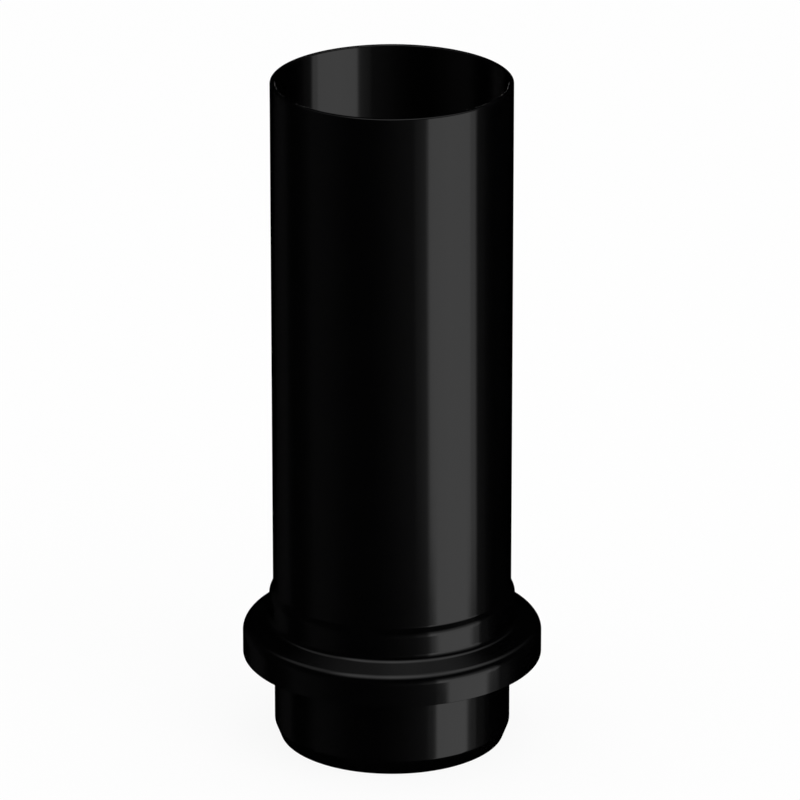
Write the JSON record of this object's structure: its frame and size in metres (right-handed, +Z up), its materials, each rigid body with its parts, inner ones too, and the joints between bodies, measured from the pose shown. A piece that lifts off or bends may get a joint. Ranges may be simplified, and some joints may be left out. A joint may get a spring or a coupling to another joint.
{
  "type": "downpipe shoe",
  "caption": "Moulded downpipe shoe: an upright tube that takes a rainwater downpipe, with a thickened foot, a round flange and a tapered-end spigot for a drain socket.",
  "frame": {"origin": "centre of the shoe's lower end, on the axis of the tube and the spigot", "axes": "+Z up along the tube, from the spigot to the rim; X and Y across, equal because the shoe is round"},
  "size_m": [0.1394, 0.1394, 0.32],
  "materials": {
    "shoe_plastic": "smooth near-black moulded plastic with a high gloss"
  },
  "bodies": {
    "root": {"downpipe_shoe": "shoe_plastic"}
  },
  "joints": []
}
